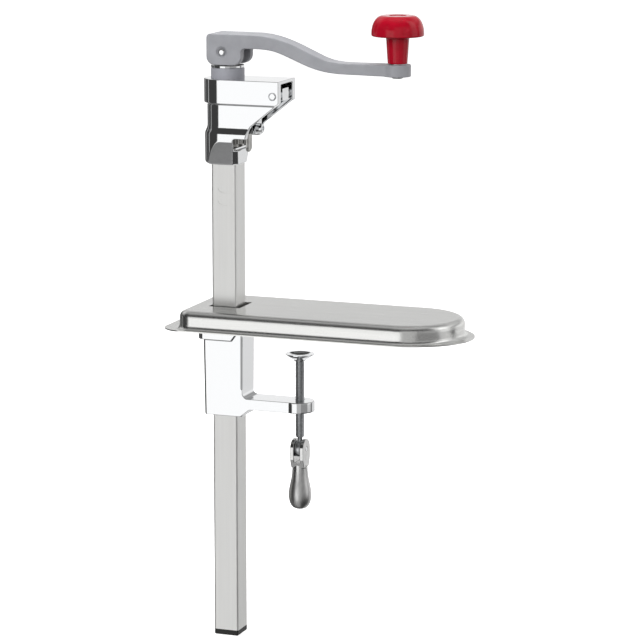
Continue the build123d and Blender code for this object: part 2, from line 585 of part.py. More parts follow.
# ---------------------------------------------------------------- clamp frame
UPPER_GUIDE = (-16.0, 5.0, 30.2)      # lower end, upper end, outer side
LOWER_GUIDE = (-86.0, -68.0, 28.0)
FRICTION_Z = -42.0
FRICTION_R = 5.0
PLUG_R = 6.0
PLUG_FACE = 25.0
SUPPORT_BOLTS = [(x, TRAY_Y + y) for x in (46.0, 80.0) for y in (-20.0, 20.0)]
BOLT_R = 3.0
with BuildPart() as clamp_frame:
    # lower arm of the clamp with its fillet, gusset and round end
    with BuildSketch(Plane.XZ):
        with BuildLine():
            Polyline((0, ARM_LOW_Z), (0, -62), (20.1, -62), (20.1, ARM_TOP_Z + 6))
            RadiusArc((20.1, ARM_TOP_Z + 6), (26.1, ARM_TOP_Z), -6)
            Polyline((26.1, ARM_TOP_Z), (SCREW_X + 20, ARM_TOP_Z), (SCREW_X + 20, ARM_LOW_Z), (29, ARM_LOW_Z))
            RadiusArc((29, ARM_LOW_Z), (25.5, ARM_LOW_Z - 1.6), -5)
            Polyline((25.5, ARM_LOW_Z - 1.6), (18.5, SLEEVE_LOW + 0.6), (0, SLEEVE_LOW + 0.6), (0, ARM_LOW_Z))
        make_face()
    extrude(amount=20, both=True)
    with BuildSketch(Plane.XY.offset(SLEEVE_LOW)):
        with Locations((0, -SLEEVE_FRONT + ARM_WIDTH / 2)):
            Rectangle(SCREW_X, ARM_WIDTH, align=(Align.MIN, Align.CENTER))
        with Locations((SCREW_X, -SLEEVE_FRONT + ARM_WIDTH / 2)):
            Circle(SCREW_BOSS_R)
    extrude(amount=40, mode=Mode.INTERSECT)
    # tapered sleeve around the bar
    with BuildSketch(Plane.XY):
        with Locations((-0.4, 0)):
            RectangleRounded(41.6, 2 * SLEEVE_FRONT, 2.2)
    with BuildSketch(Plane.XY.offset(SLEEVE_LOW)):
        with Locations((0, -0.6)):
            RectangleRounded(39.8, 2 * SLEEVE_FRONT - 1.2, 2.2)
    loft()
    # lip on the left half, just under the table line
    with BuildSketch(Plane.XZ):
        with BuildLine():
            Polyline((LIP_LEFT, 0), (LIP_LEFT, LIP_LOW), (LIP_RIGHT - 6, LIP_LOW), (LIP_RIGHT, LIP_LOW + 8),
                     (LIP_RIGHT, 0), (LIP_LEFT, 0))
        make_face()
    extrude(amount=LIP_HALF, both=True)
    fillet(clamp_frame.faces().sort_by(Axis.X)[0].edges().filter_by(Axis.Z), 7)
    # land on top, which fits in the jaw plate's rebate
    extrude(clamp_frame.faces().sort_by(Axis.Z)[-1], amount=REBATE)
    # boss at the back for the friction plug
    with BuildSketch(Plane.XZ.offset(-12)):
        with Locations((0, FRICTION_Z)):
            Circle(9.5)
    extrude(amount=-(PLUG_FACE - 12))
    # way for the bar, with a seat for each guide bush
    with BuildSketch(Plane.XY.offset(SLEEVE_LOW)):
        Rectangle(BAR_SIDE + 1, BAR_SIDE + 1)
    extrude(amount=REBATE - SLEEVE_LOW, mode=Mode.SUBTRACT)
    for low, high, side in (UPPER_GUIDE, LOWER_GUIDE):
        with BuildSketch(Plane.XY.offset(low)):
            Rectangle(side, side)
        extrude(amount=high - low, mode=Mode.SUBTRACT)
    # bores of the friction plug and of the clamp screw
    with BuildSketch(Plane.XZ.offset(-PLUG_FACE)):
        with Locations((0, FRICTION_Z)):
            Circle(FRICTION_R + RUNNING)
    extrude(amount=PLUG_FACE - 10, mode=Mode.SUBTRACT)
    with BuildSketch(Plane.XZ.offset(-PLUG_FACE)):
        with Locations((0, FRICTION_Z)):
            Circle(PLUG_R)
    extrude(amount=4.5, mode=Mode.SUBTRACT)
    with BuildSketch(Plane.XY.offset(SLEEVE_LOW)):
        with Locations((SCREW_X, 0)):
            Circle(SCREW_R + RUNNING)
    extrude(amount=30, mode=Mode.SUBTRACT)
clamp_frame.part.label = "clamp_frame"
export_step(clamp_frame.part, "parts/clamp_frame.step")

# jaw plate on top of the sleeve, which bears on the table under the tray
with BuildPart() as jaw_plate:
    with BuildSketch(Plane.XY):
        with Locations((LIP_LEFT, 0)):
            Rectangle(JAW_RIGHT - LIP_LEFT, 2 * JAW_HALF, align=(Align.MIN, Align.CENTER))
    extrude(amount=JAW_THICK)
    fillet(jaw_plate.edges().filter_by(Axis.Z).group_by(Axis.X)[-1], 8)
    # rebate underneath for the sleeve's top
    with BuildSketch(Plane.XY):
        with Locations((LIP_LEFT, 0)):
            Rectangle(SLEEVE_RIGHT - LIP_LEFT, 2 * JAW_HALF, align=(Align.MIN, Align.CENTER))
    extrude(amount=REBATE, mode=Mode.SUBTRACT)
    # way for the bar and its upper bush, and the countersunk bolt holes
    with BuildSketch(Plane.XY):
        Rectangle(UPPER_GUIDE[2], UPPER_GUIDE[2])
        with Locations(*SUPPORT_BOLTS):
            Circle(BOLT_R)
    extrude(amount=JAW_THICK, mode=Mode.SUBTRACT)
    with Locations(*[(x, y, 0) for x, y in SUPPORT_BOLTS]):
        Cone(BOLT_R + 3, BOLT_R, 3, align=(Align.CENTER, Align.CENTER, Align.MIN), mode=Mode.SUBTRACT)
jaw_plate.part.label = "jaw_plate"
export_step(jaw_plate.part, "parts/jaw_plate.step")

# square nylon bushes that guide the bar
GUIDE_BORE = BAR_SIDE + 2 * SLIDING
with BuildPart() as upper_guide_bush:
    with BuildSketch(Plane.XY.offset(UPPER_GUIDE[0])):
        Rectangle(UPPER_GUIDE[2], UPPER_GUIDE[2])
        Rectangle(GUIDE_BORE, GUIDE_BORE, mode=Mode.SUBTRACT)
    extrude(amount=UPPER_GUIDE[1] - UPPER_GUIDE[0])
upper_guide_bush.part.label = "upper_guide_bush"
export_step(upper_guide_bush.part, "parts/upper_guide_bush.step")

with BuildPart() as lower_guide_bush:
    with BuildSketch(Plane.XY.offset(LOWER_GUIDE[0])):
        Rectangle(LOWER_GUIDE[2], LOWER_GUIDE[2])
        Rectangle(GUIDE_BORE, GUIDE_BORE, mode=Mode.SUBTRACT)
    extrude(amount=LOWER_GUIDE[1] - LOWER_GUIDE[0])
lower_guide_bush.part.label = "lower_guide_bush"
export_step(lower_guide_bush.part, "parts/lower_guide_bush.step")

# nylon pad, spring and hollow screw that press on the bar's back and hold it at any height
PAD_FACE = BAR_SIDE / 2 + SLIDING
PAD_LENGTH = 3.2
WIRE_R = 0.5
with BuildPart() as friction_pad:
    with BuildSketch(Plane.XZ.offset(-PAD_FACE)):
        with Locations((0, FRICTION_Z)):
            Circle(FRICTION_R)
    extrude(amount=-PAD_LENGTH)
friction_pad.part.label = "friction_pad"
export_step(friction_pad.part, "parts/friction_pad.step")

with BuildPart() as friction_spring:
    coil_start = PAD_FACE + PAD_LENGTH + WIRE_R
    coil_length = PLUG_FACE - 4.5 - WIRE_R - coil_start
    with BuildLine():
        coil = Helix(pitch=coil_length / 3, height=coil_length, radius=FRICTION_R - 1.2,
                     center=(0, coil_start, FRICTION_Z), direction=(0, 1, 0))
    with BuildSketch(Plane(origin=coil @ 0, z_dir=coil % 0)):
        Circle(WIRE_R)
    sweep(path=coil, is_frenet=True)
friction_spring.part.label = "friction_spring"
export_step(friction_spring.part, "parts/friction_spring.step")

with BuildPart() as friction_screw:
    with BuildSketch(Plane.XZ.offset(-PLUG_FACE)):
        with Locations((0, FRICTION_Z)):
            Circle(PLUG_R)
    extrude(amount=4.5)
    with BuildSketch(Plane.XZ.offset(-PLUG_FACE)):
        with Locations((0, FRICTION_Z)):
            RegularPolygon(3.4, 6)
    extrude(amount=3, mode=Mode.SUBTRACT)
friction_screw.part.label = "friction_screw"
export_step(friction_screw.part, "parts/friction_screw.step")

# ---------------------------------------------------------------- tray
def tray_outline(left, half, round_x, end_length, corner):
    """Outline with rounded corners at the left and a half-oval right end."""
    with BuildSketch(mode=Mode.PRIVATE) as outline:
        with Locations((left, TRAY_Y)):
            Rectangle(round_x - left, 2 * half, align=(Align.MIN, Align.CENTER))
        fillet(outline.vertices().group_by(Axis.X)[0], corner)
        with Locations((round_x, TRAY_Y)):
            Ellipse(end_length, half)
    return outline.sketch


HOLE_LEFT, HOLE_RIGHT, HOLE_FRONT, HOLE_BACK = TRAY_HOLE
STUDS = [(x, TRAY_Y + y) for x in (30.0, 120.0, 190.0) for y in (-31.0, 31.0)]
STUD_R = 2.5
# hollow under the tray, one sheet thickness inside its outer skin
with BuildPart() as tray_inside:
    with BuildSketch():
        add(tray_outline(TRAY_LEFT + TRAY_SHEET, TRAY_HALF - TRAY_SHEET, TRAY_ROUND_X,
                         TRAY_HALF - TRAY_SHEET, 14 - TRAY_SHEET))
    extrude(amount=TRAY_TOP - TRAY_SHEET)
    fillet(tray_inside.faces().sort_by(Axis.Z)[-1].edges(), TRAY_SHOULDER - TRAY_SHEET)

with BuildPart() as tray_cover:
    with BuildSketch():
        add(tray_outline(TRAY_LEFT, TRAY_HALF, TRAY_ROUND_X, TRAY_HALF, 14))
    extrude(amount=TRAY_TOP)
    fillet(tray_cover.faces().sort_by(Axis.Z)[-1].edges(), TRAY_SHOULDER)
    with BuildSketch():
        add(tray_outline(FLANGE_LEFT, FLANGE_HALF, FLANGE_ROUND_X, FLANGE_RIGHT - FLANGE_ROUND_X, 22))
    extrude(amount=TRAY_SHEET)
    flange_top = tray_cover.faces().filter_by(Plane.XY).group_by(Axis.Z)[1][0]
    fillet(flange_top.inner_wires()[0].edges(), TRAY_FLARE)
    add(tray_inside.part, mode=Mode.SUBTRACT)
    with BuildSketch():
        with Locations((HOLE_LEFT, HOLE_FRONT)):
            Rectangle(HOLE_RIGHT - HOLE_LEFT, HOLE_BACK - HOLE_FRONT, align=Align.MIN)
    extrude(amount=TRAY_TOP, mode=Mode.SUBTRACT)
tray_cover.part.label = "tray_cover"
export_step(tray_cover.part, "parts/tray_cover.step")

# ribbed casting that backs the tray's flat top and stands on the jaw plate
SUPPORT_INSET = 8.5
SUPPORT_SKIN = 4.0
SUPPORT_RIM = 3.5
SUPPORT_TOP = TRAY_TOP - TRAY_SHEET
with BuildPart() as tray_support:
    rim_half = TRAY_HALF - SUPPORT_INSET
    with BuildSketch(Plane.XY.offset(JAW_THICK)):
        add(tray_outline(TRAY_LEFT + SUPPORT_INSET, rim_half, TRAY_ROUND_X, rim_half, 6))
    extrude(amount=SUPPORT_TOP - JAW_THICK)
    with BuildSketch(Plane.XY.offset(JAW_THICK)):
        add(tray_outline(TRAY_LEFT + SUPPORT_INSET + SUPPORT_RIM, rim_half - SUPPORT_RIM, TRAY_ROUND_X,
                         rim_half - SUPPORT_RIM, 3))
    extrude(amount=SUPPORT_TOP - SUPPORT_SKIN - JAW_THICK, mode=Mode.SUBTRACT)
    with BuildSketch(Plane.XY.offset(JAW_THICK)):
        with Locations((0, 0)):
            Rectangle(44, 44)
        with Locations(*SUPPORT_BOLTS):
            Circle(7)
        with Locations((105, TRAY_Y), (155, TRAY_Y)):
            Rectangle(SUPPORT_RIM, 2 * rim_half - 2)
    extrude(amount=SUPPORT_TOP - SUPPORT_SKIN - JAW_THICK)
    with BuildSketch(Plane.XY.offset(JAW_THICK)):
        Rectangle(36, 38)
        with Locations(*SUPPORT_BOLTS, *STUDS):
            Circle(BOLT_R)
    extrude(amount=SUPPORT_TOP - JAW_THICK, mode=Mode.SUBTRACT)
tray_support.part.label = "tray_support"
export_step(tray_support.part, "parts/tray_support.step")

# countersunk bolts up through the jaw plate into the tray support
with BuildPart() as support_bolts:
    with BuildSketch():
        with Locations(*SUPPORT_BOLTS):
            Circle(BOLT_R)
    extrude(amount=SUPPORT_TOP - 0.5)
    with Locations(*[(x, y, 0) for x, y in SUPPORT_BOLTS]):
        Cone(BOLT_R + 3, BOLT_R, 3, align=(Align.CENTER, Align.CENTER, Align.MIN))
    with BuildSketch():
        with Locations(*SUPPORT_BOLTS):
            RegularPolygon(2, 6)
    extrude(amount=2.2, mode=Mode.SUBTRACT)
support_bolts.part.label = "support_bolts"
export_step(support_bolts.part, "parts/support_bolts.step")

# studs welded under the tray's top, and their nuts below the support
NUT_HEIGHT = 4.0
with BuildPart() as tray_studs:
    with BuildSketch(Plane.XY.offset(SUPPORT_TOP)):
        with Locations(*STUDS):
            Circle(STUD_R)
    extrude(amount=-(SUPPORT_SKIN + NUT_HEIGHT + 1.5))
tray_studs.part.label = "tray_studs"
export_step(tray_studs.part, "parts/tray_studs.step")

with BuildPart() as tray_nuts:
    with BuildSketch(Plane.XY.offset(SUPPORT_TOP - SUPPORT_SKIN)):
        with Locations(*STUDS):
            RegularPolygon(4.6, 6)
            Circle(STUD_R, mode=Mode.SUBTRACT)
    extrude(amount=-NUT_HEIGHT)
tray_nuts.part.label = "tray_nuts"
export_step(tray_nuts.part, "parts/tray_nuts.step")

# ---------------------------------------------------------------- clamp screw, pad and lever
PAD_R = 14.4
TIP_R = 3.0
TIP_LENGTH = 4.5
NECK_R = 2.5
EYE_HALF = 3.0
EYE_R = 8.0
LEVER_PIN_R = 2.5
# dished pad that swivels on the screw's tip
with BuildPart() as clamp_pad:
    with BuildSketch(Plane.XZ):
        with BuildLine():
            Polyline((SCREW_X, PAD_LOW), (SCREW_X + 6, PAD_LOW), (SCREW_X + 6.6, PAD_LOW + 1))
            RadiusArc((SCREW_X + 6.6, PAD_LOW + 1), (SCREW_X + PAD_R, PAD_TOP - 0.9), -30)
            Polyline((SCREW_X + PAD_R, PAD_TOP - 0.9), (SCREW_X + PAD_R, PAD_TOP), (SCREW_X + 10.6, PAD_TOP))
            RadiusArc((SCREW_X + 10.6, PAD_TOP), (SCREW_X + 5, PAD_TOP - 2), 14)
            Polyline((SCREW_X + 5, PAD_TOP - 2), (SCREW_X, PAD_TOP - 2), (SCREW_X, PAD_LOW))
        make_face()
    revolve(axis=Axis((SCREW_X, 0, 0), (0, 0, 1)))
    with BuildSketch(Plane.XY.offset(PAD_LOW)):
        with Locations((SCREW_X, 0)):
            Circle(TIP_R + RUNNING)
    extrude(amount=TIP_LENGTH, mode=Mode.SUBTRACT)
clamp_pad.part.label = "clamp_pad"
export_step(clamp_pad.part, "parts/clamp_pad.step")

SCREW_TOP = PAD_LOW - 0.1
NECK_LOW = -112.5
with BuildPart() as clamp_screw:
    with BuildSketch(Plane.XY.offset(SCREW_TOP)):
        with Locations((SCREW_X, 0)):
            Circle(SCREW_R)
    extrude(amount=THREAD_LOW - SCREW_TOP)
    chamfer(clamp_screw.edges().filter_by(GeomType.CIRCLE), 0.8)
    with BuildSketch(Plane.XY.offset(SCREW_TOP)):
        with Locations((SCREW_X, 0)):
            Circle(TIP_R)
    extrude(amount=TIP_LENGTH - 0.5)
    with BuildSketch(Plane.XY.offset(THREAD_LOW)):
        with Locations((SCREW_X, 0)):
            Circle(NECK_R)
    extrude(amount=NECK_LOW - 2 - THREAD_LOW)
    # flat eye on the lever's pin
    with BuildSketch(Plane.YZ.offset(SCREW_X)):
        with Locations((0, LEVER_PIN_Z)):
            Circle(EYE_R)
            Circle(LEVER_PIN_R + RUNNING, mode=Mode.SUBTRACT)
    extrude(amount=EYE_HALF, both=True)
clamp_screw.part.label = "clamp_screw"
export_step(clamp_screw.part, "parts/clamp_screw.step")

# forked handle that hangs from the eye and folds out either way to turn the screw
FORK_HALF_X = 6.9
FORK_R = 10.0
FORK_LOW = -138.0
SLOT_HALF = EYE_HALF + 0.25
SLOT_LOW = LEVER_PIN_Z - 12.7
WAIST_R = 7.6
PEAR_R = 11.2
WIDEST_Z = -166.0
with BuildPart() as tightening_lever:
    # fork with a round top, narrowing towards the handle
    with BuildSketch(Plane.YZ.offset(SCREW_X)):
        with BuildLine():
            CenterArc((0, LEVER_PIN_Z), FORK_R, 0, 180)
            Polyline((-FORK_R, LEVER_PIN_Z), (-FORK_R, SLOT_LOW + 3), (1 - WAIST_R, FORK_LOW),
                     (WAIST_R - 1, FORK_LOW), (FORK_R, SLOT_LOW + 3), (FORK_R, LEVER_PIN_Z))
        make_face()
    extrude(amount=FORK_HALF_X, both=True)
    # pear-shaped handle, turned about the screw's axis
    with BuildSketch(Plane.XZ):
        with BuildLine():
            Polyline((SCREW_X, SLOT_LOW - 0.6), (SCREW_X + WAIST_R - 1.4, SLOT_LOW - 0.6),
                     (SCREW_X + WAIST_R, FORK_LOW + 2))
            Spline((SCREW_X + WAIST_R, FORK_LOW + 2), (SCREW_X + PEAR_R, WIDEST_Z), (SCREW_X, LEVER_LOW),
                   tangents=[(0, -1), (-1, 0)])
            Line((SCREW_X, LEVER_LOW), (SCREW_X, SLOT_LOW - 0.6))
        make_face()
    revolve(axis=Axis((SCREW_X, 0, 0), (0, 0, 1)))
    # slot for the eye and hole for the pin
    with BuildSketch(Plane.XZ):
        with BuildLine():
            Polyline((SCREW_X - SLOT_HALF, LEVER_PIN_Z + 12), (SCREW_X - SLOT_HALF, SLOT_LOW),
                     (SCREW_X + SLOT_HALF, SLOT_LOW), (SCREW_X + SLOT_HALF, LEVER_PIN_Z + 12),
                     (SCREW_X - SLOT_HALF, LEVER_PIN_Z + 12))
        make_face()
    extrude(amount=FORK_R + 2, both=True, mode=Mode.SUBTRACT)
    with BuildSketch(Plane.YZ.offset(SCREW_X)):
        with Locations((0, LEVER_PIN_Z)):
            Circle(LEVER_PIN_R)
    extrude(amount=12, both=True, mode=Mode.SUBTRACT)
tightening_lever.part.label = "tightening_lever"
export_step(tightening_lever.part, "parts/tightening_lever.step")

with BuildPart() as lever_pin:
    with BuildSketch(Plane.YZ.offset(SCREW_X - FORK_HALF_X)):
        with Locations((0, LEVER_PIN_Z)):
            Circle(LEVER_PIN_R)
    extrude(amount=2 * FORK_HALF_X)
    chamfer(lever_pin.edges().filter_by(GeomType.CIRCLE), 0.4)
lever_pin.part.label = "lever_pin"
export_step(lever_pin.part, "parts/lever_pin.step")
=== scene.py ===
"""Looks of the bench can opener: materials, softened castings, threaded screw, camera and light."""

import json
import math

import bmesh
import bpy
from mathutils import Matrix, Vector


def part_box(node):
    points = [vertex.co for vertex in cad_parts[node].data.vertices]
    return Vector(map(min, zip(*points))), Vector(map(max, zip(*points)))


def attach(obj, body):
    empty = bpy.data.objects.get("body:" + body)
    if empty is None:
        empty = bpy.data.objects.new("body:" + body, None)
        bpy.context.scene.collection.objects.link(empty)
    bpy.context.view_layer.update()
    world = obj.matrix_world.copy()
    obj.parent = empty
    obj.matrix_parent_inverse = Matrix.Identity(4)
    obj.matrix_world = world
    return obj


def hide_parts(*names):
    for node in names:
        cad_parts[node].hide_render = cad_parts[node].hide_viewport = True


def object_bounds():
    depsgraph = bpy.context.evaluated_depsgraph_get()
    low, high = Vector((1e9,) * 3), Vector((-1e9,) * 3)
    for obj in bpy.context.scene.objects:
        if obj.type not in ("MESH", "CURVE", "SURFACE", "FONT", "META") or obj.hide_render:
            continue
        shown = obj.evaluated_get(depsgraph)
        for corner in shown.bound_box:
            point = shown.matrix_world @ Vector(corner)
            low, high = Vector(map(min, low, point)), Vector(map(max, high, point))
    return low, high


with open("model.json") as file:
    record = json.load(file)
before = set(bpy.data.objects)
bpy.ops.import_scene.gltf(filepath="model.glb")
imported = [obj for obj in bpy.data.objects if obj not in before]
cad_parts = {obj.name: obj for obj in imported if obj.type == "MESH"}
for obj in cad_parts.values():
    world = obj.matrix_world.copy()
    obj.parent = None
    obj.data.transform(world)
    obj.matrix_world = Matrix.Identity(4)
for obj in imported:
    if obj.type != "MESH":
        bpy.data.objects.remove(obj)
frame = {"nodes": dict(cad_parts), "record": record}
frame_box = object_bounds()
MM = 0.001
LENGTHWAYS_X, LENGTHWAYS_Z = 0, 2      # axis that a brushed finish runs along


# ------------------------------------------------------------------ materials
def linear(code):
    """Linear RGBA of an sRGB hex colour."""
    parts = [int(code[i:i + 2], 16) / 255 for i in (1, 3, 5)]
    return (*[p / 12.92 if p <= 0.04045 else ((p + 0.055) / 1.055) ** 2.4 for p in parts], 1.0)


def add(tree, kind, inputs=None, give=None, **settings):
    """Adds a node with its settings, sets or links its inputs, and gives back one output."""
    made = tree.nodes.new(kind)
    for name, value in settings.items():
        setattr(made, name, value)
    for socket, value in (inputs or {}).items():
        if isinstance(value, bpy.types.NodeSocket):
            tree.links.new(value, made.inputs[socket])
        else:
            made.inputs[socket].default_value = value
    if give:
        return made.outputs[give]
    return next((output for output in made.outputs if output.enabled), None)


def grains(tree, size, detail, span=None):
    """Noise whose grains have a size in mm, one number or one along each axis of the frame.

    span is the range of values that the middle of the noise is stretched over.
    """
    along = size if isinstance(size, list) else [size] * 3
    place = add(tree, "ShaderNodeTexCoord", give="Object")
    scaled = add(tree, "ShaderNodeMapping", {"Vector": place, "Scale": [1 / (s * MM) for s in along]})
    noise = add(tree, "ShaderNodeTexNoise", {"Vector": scaled, "Scale": 1.0, "Detail": detail}, "Fac")
    if span is None:
        return noise
    return add(tree, "ShaderNodeMapRange", {"Value": noise, "From Min": 0.3, "From Max": 0.7,
                                            "To Min": span[0], "To Max": span[1]}, "Result")


def surface(name, metallic, shades, gloss, relief):
    """A material whose colour, roughness and relief each follow a noise pattern.

    shades is (size, detail, dark, light), gloss is (size, detail, low, high) or None, and relief is
    (size, detail, height in mm, strength).
    """
    made = bpy.data.materials.new(name)
    made.use_nodes = True
    tree = made.node_tree
    shader = tree.nodes["Principled BSDF"]
    shader.inputs["Metallic"].default_value = metallic
    size, detail, dark, light = shades
    colour = add(tree, "ShaderNodeMix", {"Factor": grains(tree, size, detail, (0.0, 1.0)),
                                         "A": linear(dark), "B": linear(light)}, data_type="RGBA")
    tree.links.new(colour, shader.inputs["Base Color"])
    if gloss:
        size, detail, low, high = gloss
        tree.links.new(grains(tree, size, detail, (low, high)), shader.inputs["Roughness"])
    size, detail, height, strength = relief
    bump = add(tree, "ShaderNodeBump", {"Height": grains(tree, size, detail), "Distance": height * MM,
                                        "Strength": strength})
    tree.links.new(bump, shader.inputs["Normal"])
    return made, tree, shader


def brushed_stainless(name, axis, roughness, dark, light):
    """Stainless sheet or bar, belt-polished along one axis: fine even lines, and a glow that
    spreads across the lines, so that faces at right angles look nearly as bright as each other."""
    fine, broad = [0.25] * 3, [2.5] * 3
    fine[axis], broad[axis] = 45, 160
    made, tree, shader = surface(name, 1.0, (broad, 3.0, dark, light),
                                 (fine, 2.0, roughness - 0.03, roughness + 0.03), (fine, 2.0, 0.01, 0.35))
    across = add(tree, "ShaderNodeTangent", direction_type="RADIAL", axis="XYZ"[axis])
    tree.links.new(across, shader.inputs["Tangent"])
    shader.inputs["Anisotropic"].default_value = 0.7
    return made


def polished_chrome():
    """Bright chrome plate on a buffed casting: near-mirror, with the faint waves of hand polishing."""
    return surface("chrome_plated_casting", 1.0, (9, 1.0, "#EDEEEF", "#EDEEEF"),
                   (1.6, 3.0, 0.04, 0.10), (9, 1.0, 0.12, 0.25))[0]


def worn_chrome():
    """Chrome plate on the tightening lever: bright at the fork and rubbed to satin on the grip."""
    scuffs = ([2, 2, 6], 3.0)
    made, tree, shader = surface("hand_worn_chrome_plate", 1.0, (*scuffs, "#CFCFCE", "#DEDEDD"),
                                 None, (*scuffs, 0.02, 0.3))
    place = add(tree, "ShaderNodeTexCoord", give="Object")
    height = add(tree, "ShaderNodeSeparateXYZ", {"Vector": place}, "Z")
    wear = add(tree, "ShaderNodeMapRange", {"Value": height, "From Min": -145 * MM, "From Max": -132 * MM,
                                            "To Min": 0.34, "To Max": 0.08}, "Result")
    tree.links.new(wear, shader.inputs["Roughness"])
    return made


def grey_enamel():
    """Satin grey paint on a sand-cast crank: soft sheen over a slightly pebbled skin."""
    return surface("satin_grey_paint_on_casting", 0.0, (14, 2.0, "#9A9BA0", "#A4A5AA"),
                   (0.9, 3.0, 0.32, 0.44), (0.9, 3.0, 0.04, 0.4))[0]


def red_plastic():
    """Gloss phenolic moulding: deep red with a wet highlight and very slight ripple."""
    ripple = (6, 2.0)
    made, _, shader = surface("gloss_red_phenolic_moulding", 0.0, (*ripple, "#A30A20", "#B00D26"),
                              (*ripple, 0.1, 0.16), (*ripple, 0.08, 0.2))
    shader.inputs["Specular IOR Level"].default_value = 0.32
    return made


def moulded_plastic(name, dark, light, roughness):
    """Matt moulded nylon with a fine spark-eroded grain."""
    grain = (0.5, 3.0)
    return surface(name, 0.0, (*grain, dark, light), (*grain, roughness - 0.06, roughness + 0.06),
                   (*grain, 0.03, 0.5))[0]


def ground_steel():
    """Hardened tool steel with grinding lines across it and a darker oxide tone."""
    lines = ([0.2, 12, 12], 2.0)
    return surface("ground_tool_steel", 1.0, (5, 3.0, "#9C9B98", "#BDBCB9"),
                   (*lines, 0.22, 0.36), (*lines, 0.01, 0.4))[0]


def zinc_plate():
    """Bright zinc plate on the screw and small fasteners: slightly milky grey with fine crystals."""
    crystals = (0.6, 2.0)
    return surface("bright_zinc_plated_steel", 1.0, (*crystals, "#C8CACC", "#D8DADC"),
                   (*crystals, 0.3, 0.38), (*crystals, 0.01, 0.4))[0]


def cast_aluminium():
    """As-cast aluminium: dull silver with the sand mould's grain."""
    sand = (0.8, 4.0)
    return surface("sand_cast_aluminium", 1.0, (*sand, "#A3A3A1", "#BDBDBB"),
                   (*sand, 0.42, 0.6), (*sand, 0.08, 0.6))[0]


def sintered_bronze():
    """Oil-filled sintered bronze bush: brown-gold and finely porous."""
    pores = (0.3, 3.0)
    return surface("sintered_bronze", 1.0, (*pores, "#8F6C38", "#B28B4E"),
                   (*pores, 0.36, 0.5), (*pores, 0.02, 0.6))[0]


chrome = polished_chrome()
enamel = grey_enamel()
zinc = zinc_plate()
BY_SLOT = {
    "polished_chrome": chrome,
    "grey_enamel": enamel,
    "red_plastic": red_plastic(),
    "grey_nylon": moulded_plastic("grey_moulded_nylon", "#9FA0A8", "#A8A9B0", 0.5),
    "black_plastic": moulded_plastic("black_moulded_plastic", "#1C1C1B", "#262625", 0.5),
    "tool_steel": ground_steel(),
    "zinc_steel": zinc,
    "cast_aluminium": cast_aluminium(),
    "bronze": sintered_bronze(),
    "brushed_stainless": brushed_stainless("stainless_bar_brushed_lengthways", LENGTHWAYS_Z, 0.35,
                                           "#EEEEEC", "#F2F2F0"),
}
SLOT_OF = {row["node"]: row["material_slot"] for row in frame["record"]["subparts"]}


def paint(obj, made):
    """Gives an object one material."""
    obj.data.materials.clear()
    obj.data.materials.append(made)


for node_name, node in frame["nodes"].items():
    paint(node, BY_SLOT[SLOT_OF[node_name]])
paint(frame["nodes"]["tray_cover"],
      brushed_stainless("stainless_sheet_brushed_lengthways", LENGTHWAYS_X, 0.25, "#E8E8E6", "#EEEEEC"))


# ------------------------------------------------------------------ pieces
def piece(name, mesh, node_name, body, made):
    """A finished piece that stands for a CAD node and moves with a body."""
    obj = bpy.data.objects.new(name, mesh)
    bpy.context.scene.collection.objects.link(obj)
    paint(obj, made)
    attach(obj, body)
    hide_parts(node_name)
    return obj


def softened(name, node_name, body, made, voxel, passes):
    """A casting whose sharp edges are rounded off, as polishing or sand moulding leaves them."""
    obj = piece(name, frame["nodes"][node_name].data.copy(), node_name, body, made)
    if "custom_normal" in obj.data.attributes:
        obj.data.attributes.remove(obj.data.attributes["custom_normal"])
    skin = obj.modifiers.new("cast_skin", "REMESH")
    skin.mode = "VOXEL"
    skin.voxel_size = voxel
    skin.use_smooth_shade = True
    rounding = obj.modifiers.new("soft_edges", "SMOOTH")
    rounding.factor = 0.5
    rounding.iterations = passes


softened("head_casting_polished", "head_casting", "bar", chrome, 0.42 * MM, 7)
softened("clamp_frame_polished", "clamp_frame", "clamp", chrome, 0.5 * MM, 7)
softened("lever_polished", "tightening_lever", "lever", worn_chrome(), 0.3 * MM, 8)
softened("crank_painted", "crank_arm", "crank", enamel, 0.5 * MM, 9)


def skin(build, rings):
    """Faces between neighbouring rings that have the same number of vertices."""
    for first, second in zip(rings, rings[1:]):
        for i in range(len(first)):
            j = (i + 1) % len(first)
            build.faces.new((first[i], first[j], second[j], second[i]))


def plain_ring(radius, height, steps):
    """An upright piece's round cross-section, in mm from its axis."""
    turns = [2 * math.pi * i / steps for i in range(steps)]
    return [(radius * math.cos(turn), radius * math.sin(turn), height) for turn in turns]


def thread_rings(bottom, top, steps):
    """Cross-sections of a right-hand thread in mm, which runs out at both ends."""
    pitch, root, crest, per_pitch, run_out = 1.5, 3.85, 4.5, 10, 2.0
    rings = []
    for k in range(int((top - bottom) / pitch * per_pitch) + 1):
        height = bottom + k * pitch / per_pitch
        ends = max(0.0, min(1.0, (height - bottom) / run_out, (top - height) / run_out))
        ring = []
        for i in range(steps):
            phase = (height / pitch - i / steps) % 1.0
            flank = min(1.0, max(0.0, 1.35 - 2.7 * abs(phase - 0.5)))
            radius = root + (crest - root) * flank * ends ** 0.5
            turn = 2 * math.pi * i / steps
            ring.append((radius * math.cos(turn), radius * math.sin(turn), height))
        rings.append(ring)
    return rings


def add_eye(build, centre):
    """Flat ring round the lever's pin with broken edges."""
    steps = 48
    profile = [(2.55, -2.6), (2.95, -3.0), (7.5, -3.0), (8.0, -2.5), (8.0, 2.5), (7.5, 3.0), (2.95, 3.0),
               (2.55, 2.6)]
    rings = []
    for radius, across in profile:
        ring = []
        for i in range(steps):
            turn = 2 * math.pi * i / steps
            ring.append(build.verts.new((centre + Vector((across, radius * math.cos(turn),
                                                          radius * math.sin(turn)))) * MM))
        rings.append(ring)
    skin(build, rings + rings[:1])


